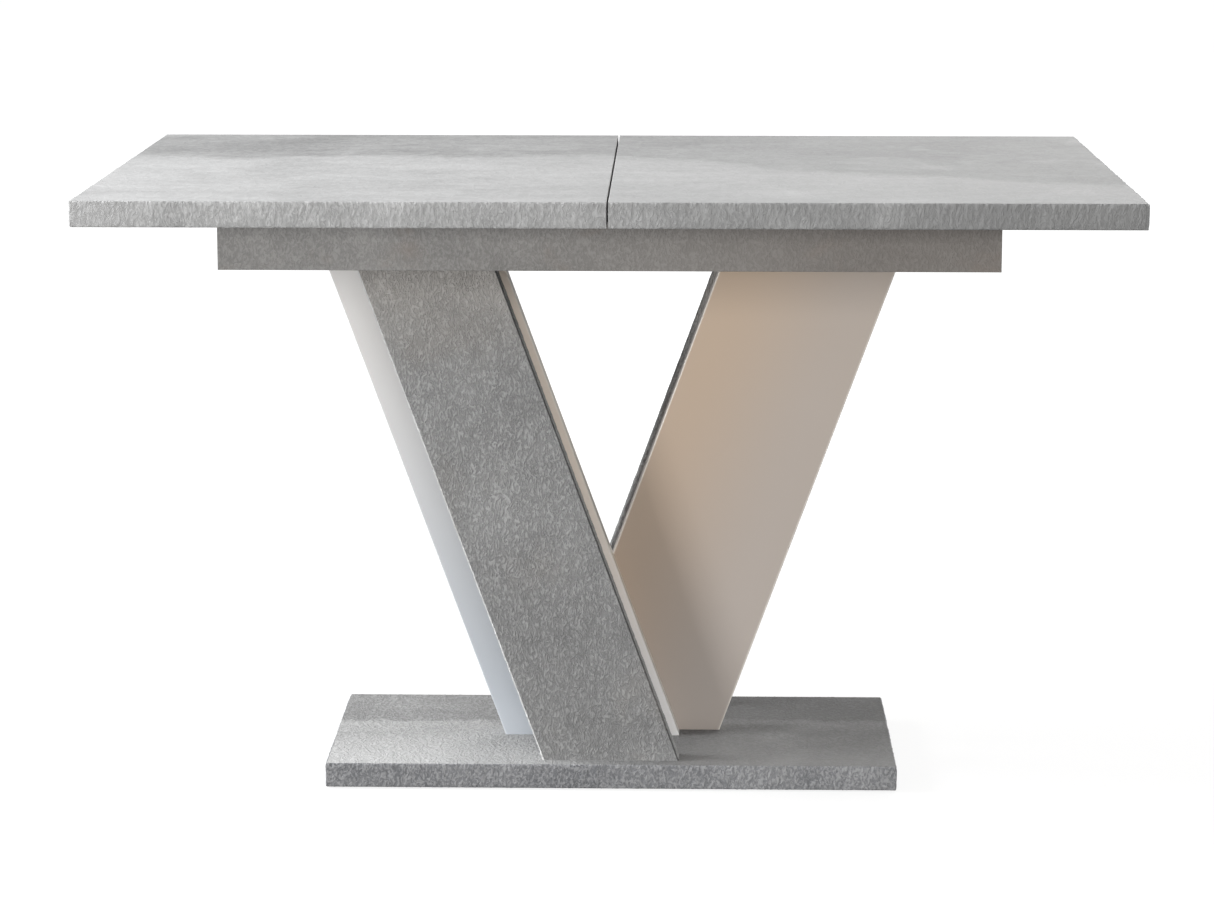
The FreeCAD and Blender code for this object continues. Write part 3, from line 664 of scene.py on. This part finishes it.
sharpAngle = 50.0     # edges that turn by more than this stay sharp, in degrees


def ripple(points, seed, lengths, stretch=(1.0, 1.0, 1.0)):
    # a smooth random field: the mean of many cosine waves in random directions, from about -1 to 1
    random = np.random.default_rng(seed)
    ways = random.normal(size=(waveCount, 3))
    ways *= (2 * np.pi / random.uniform(*lengths, waveCount) / np.linalg.norm(ways, axis=1))[:, None]
    waves = np.cos((points * stretch).reshape(-1, 3) @ ways.T + random.uniform(0, 2 * np.pi, waveCount))
    return np.tanh(waves.sum(axis=1) / math.sqrt(waveCount / 2)).reshape(points.shape[:-1])


def roundedPath(corners, radius, look, closed):
    # points and outward directions along a level outline, walked clockwise: first + (last - first) share on
    # the sides, and on each corner a quarter circle, radius times (out cos turned + along sin turned)
    corners = np.array(corners, float)
    count = len(corners)
    points, outward = [], []
    for i in range(count if closed else count - 1):
        start, end = corners[i], corners[(i + 1) % count]
        along = (end - start) / np.linalg.norm(end - start)
        out = np.array([-along[1], along[0]])
        first = start + along * radius if closed or i > 0 else start
        last = end - along * radius if closed or i < count - 2 else end
        steps = max(2, int(np.linalg.norm(last - first) / look["step"]))
        share = np.linspace(0, 1, steps)[:, None]
        points.append(first + (last - first) * share)
        outward.append(np.repeat(out[None], steps, axis=0))
        if closed or i < count - 2:
            turned = np.radians(np.linspace(0, 90, look["cornerSteps"])[1:-1])[:, None]
            fan = out * np.cos(turned) + along * np.sin(turned)
            points.append(last - out * radius + fan * radius)
            outward.append(fan)
    return np.vstack(points), np.vstack(outward)


def bandSkin(line, outward, across, breadth, thick, closed, look):
    # a section carried along a line: point = line - outward depth + across rise; the section's two outer
    # corners are quarter circles, and ripples press its face in and pull its corners in and together
    turn = np.radians(np.linspace(0, 90, look["roundSteps"]))
    r = look["round"]
    rise = np.concatenate([[0.0], r - r * np.cos(turn), np.linspace(r, breadth - r, look["rows"])[1:-1],
                           breadth - r + r * np.sin(turn), [breadth]])
    depth = np.concatenate([[thick], r - r * np.sin(turn), np.zeros(look["rows"] - 2),
                            r - r * np.cos(turn), [thick]])
    grid = line[:, None] - outward[:, None] * depth[None, :, None] + across * rise[None, :, None]
    middle = breadth / 2
    nearFace = np.clip(1 - depth / r, 0, 1)
    nearCorner = np.exp(-((np.abs(rise - middle) - middle) / look["tearReach"]) ** 2) * (depth < thick)
    press = ripple(grid, look["seed"], look["stroke"], look["strokeStretch"]) - 1
    tear = ripple(grid, look["seed"] + 1, look["tear"], look["tearStretch"]) - 1
    push = look["pressed"] * press * nearFace + look["ragged"] * tear * nearCorner * look["tearIn"]
    grid = grid + outward[:, None] * push[..., None]
    drop = look["ragged"] * look["tearAcross"] * tear * nearCorner * np.sign(rise - middle)
    grid = grid + across * drop[..., None]
    rows, columns = grid.shape[:2]
    index = np.arange(rows * columns).reshape(rows, columns)
    if closed:
        index = np.vstack([index, index[:1]])
    index = np.hstack([index, index[:, :1]])
    faces = np.stack([index[:-1, :-1], index[1:, :-1], index[1:, 1:], index[:-1, 1:]], axis=-1).reshape(-1, 4)
    ends = [] if closed else [index[0, :-1].tolist(), index[-1, :-1].tolist()]
    return grid.reshape(-1, 3), faces.tolist() + ends


def makePiece(name, skins, finish):
    # one object from several closed skins, faces outwards, smooth but for its sharp corners
    points, faces, count = [], [], 0
    for skinPoints, skinFaces in skins:
        points.append(skinPoints)
        faces += [[i + count for i in face] for face in skinFaces]
        count += len(skinPoints)
    mesh = bpy.data.meshes.new(name)
    mesh.from_pydata(np.vstack(points).tolist(), [], faces)
    work = bmesh.new()
    work.from_mesh(mesh)
    bmesh.ops.recalc_face_normals(work, faces=work.faces)
    work.to_mesh(mesh)
    work.free()
    mesh.polygons.foreach_set("use_smooth", np.ones(len(mesh.polygons), bool))
    mesh.set_sharp_from_angle(angle=math.radians(sharpAngle))
    mesh.materials.append(finish)
    thing = bpy.data.objects.new(name, mesh)
    scene.collection.objects.link(thing)
    return thing


def standFor(piece, node):
    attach(piece, bodyOf[node])
    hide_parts(node)


def outerBand(name, edging, board, finish, openSide, look):
    # the band round a flat board, as thick as the board is set in; an open one leaves out the side that
    # openSide points to along X
    low, high = map(np.array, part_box(edging))
    boardLow = np.array(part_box(board)[0])
    thick = boardLow[1] - low[1]
    closed = openSide == 0
    if closed:
        corners = [(low[0], low[1]), (low[0], high[1]), (high[0], high[1]), (high[0], low[1])]
    elif openSide > 0:
        corners = [(high[0], low[1]), (low[0], low[1]), (low[0], high[1]), (high[0], high[1])]
    else:
        corners = [(low[0], high[1]), (high[0], high[1]), (high[0], low[1]), (low[0], low[1])]
    path, out = roundedPath(corners, thick, look, closed)
    line = np.column_stack([path, np.full(len(path), low[2])])
    outward = np.column_stack([out, np.zeros(len(out))])
    skin = bandSkin(line, outward, np.array([0, 0, 1.0]), high[2] - low[2], thick, closed, look)
    piece = makePiece(name, [skin], finish)
    standFor(piece, edging)


def legBands(name, edging, board, finish, look):
    # the two slanted bands of a leg board: straight from foot to head, start + (end - start) share
    low, high = map(np.array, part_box(edging))
    outer, inner = slantOf(edging), slantOf(board)
    skins = []
    for side in (0, 1):
        start, end = outer[:, side]
        thick = abs(inner[0, side] - start)
        share = np.linspace(0, 1, int((high[2] - low[2]) / look["step"]))
        line = np.column_stack([start + (end - start) * share, np.full(len(share), low[1]),
                                low[2] + (high[2] - low[2]) * share])
        outward = np.tile([side * 2.0 - 1.0, 0.0, 0.0], (len(share), 1))
        skins.append(bandSkin(line, outward, np.array([0, 1.0, 0]), high[1] - low[1], thick, False, look))
    piece = makePiece(name, skins, finish)
    standFor(piece, edging)


# leg boards: both broad faces embossed with short wrinkles that run along the board
faceLook = {
    "stepX": 0.0014, "stepZ": 0.0020, "depth": 0.00022, "stroke": (0.0040, 0.0075),
    "through": 3.0, "along": 0.40, "fade": 0.003, "seed": 23,
}


def embossedLeg(name, board, finish, look):
    # a level section, front face then back face, carried up the lean: x is left + (right - left) across, and
    # each face is pushed by depth times a ripple that fades out at the rim
    low, high = map(np.array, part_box(board))
    span = slantOf(board)
    columns = int((span[0, 1] - span[0, 0]) / look["stepX"])
    rows = int((high[2] - low[2]) / look["stepZ"])
    across = np.linspace(0, 1, columns)
    across = np.concatenate([across, across[::-1]])
    facing = np.repeat([-1.0, 1.0], columns)
    up = np.linspace(0, 1, rows)[:, None]
    left = span[0, 0] + (span[1, 0] - span[0, 0]) * up
    right = span[0, 1] + (span[1, 1] - span[0, 1]) * up
    x = left + (right - left) * across
    y = np.broadcast_to(np.where(facing < 0, low[1], high[1]), x.shape)
    z = np.broadcast_to(low[2] + (high[2] - low[2]) * up, x.shape)
    grid = np.stack([x, y, z], axis=-1)
    lean = (span[1, 0] - span[0, 0]) / (high[2] - low[2])
    upright = np.stack([x - lean * z, y * look["through"], z * look["along"]], axis=-1)
    rim = np.minimum(np.minimum(x - left, right - x), np.minimum(z - low[2], high[2] - z))
    calm = np.clip(rim / look["fade"], 0, 1)
    grid[..., 1] += facing * look["depth"] * ripple(upright, look["seed"], look["stroke"]) * calm
    index = np.arange(grid.shape[0] * grid.shape[1]).reshape(grid.shape[:2])
    index = np.hstack([index, index[:, :1]])
    faces = np.stack([index[:-1, :-1], index[:-1, 1:], index[1:, 1:], index[1:, :-1]], axis=-1).reshape(-1, 4)
    ends = [index[0, :-1].tolist(), index[-1, :-1].tolist()]
    piece = makePiece(name, [(grid.reshape(-1, 3), faces.tolist() + ends)], finish)
    standFor(piece, board)


for name, band in flatBands.items():
    outerBand(name, band["edging"], band["board"], materials[band["finish"]], band["openSide"], bandLook)
for side, bandFinish in legBandFinish.items():
    board = side + "_dark_leg_board"
    edging = side + "_dark_leg_edging"
    legBands(side + "LegEdgeBands", edging, board, materials[bandFinish], legBandLook)
    embossedLeg(side + "DarkLeg", board, materials["legConcrete"], faceLook)
print("edge bands and embossed legs made")
